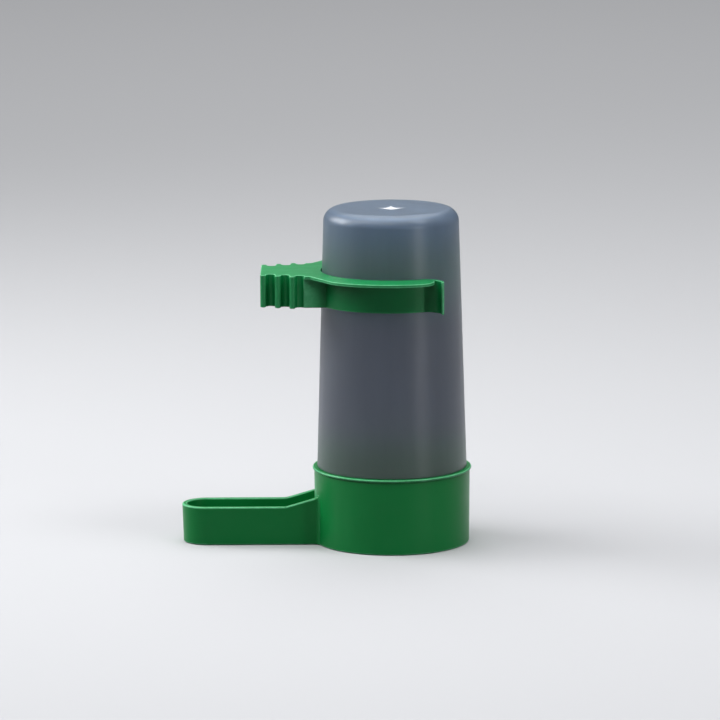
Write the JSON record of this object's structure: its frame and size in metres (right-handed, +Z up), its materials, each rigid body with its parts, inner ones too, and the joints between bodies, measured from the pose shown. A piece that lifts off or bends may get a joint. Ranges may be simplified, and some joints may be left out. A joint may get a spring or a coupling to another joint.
{
  "type": "bird cage drinker",
  "caption": "Gravity drinker for a bird cage: green base with a round collar and a narrow drinking trough, an inverted frosted bottle plugged into the collar, and a C-shaped cage clip.",
  "frame": {"origin": "on the bottle's axis, at the flat underside of the base", "axes": "+Z up along the bottle, -X along the drinking trough and the clip's stem, Y across them"},
  "size_m": [0.07, 0.048, 0.0813],
  "materials": {
    "green_plastic": "moulded, semi-gloss",
    "frosted_plastic": "frosted, see-through",
    "clip_plastic": "moulded, semi-gloss"
  },
  "bodies": {
    "base": {"drinking_base": "green_plastic"},
    "bottle": {"water_bottle": "frosted_plastic"},
    "clip": {"cage_clip": "clip_plastic"}
  },
  "joints": [
    {"name": "bottle_lift", "type": "slide", "parent": "base", "child": "bottle", "axis": [0, 0, 1], "range_m": [0, 0.03]},
    {"name": "clip_turn", "type": "hinge", "parent": "bottle", "child": "clip", "pos_m": [0, 0, 0.0624], "axis": [0, 0, 1], "continuous": true}
  ]
}
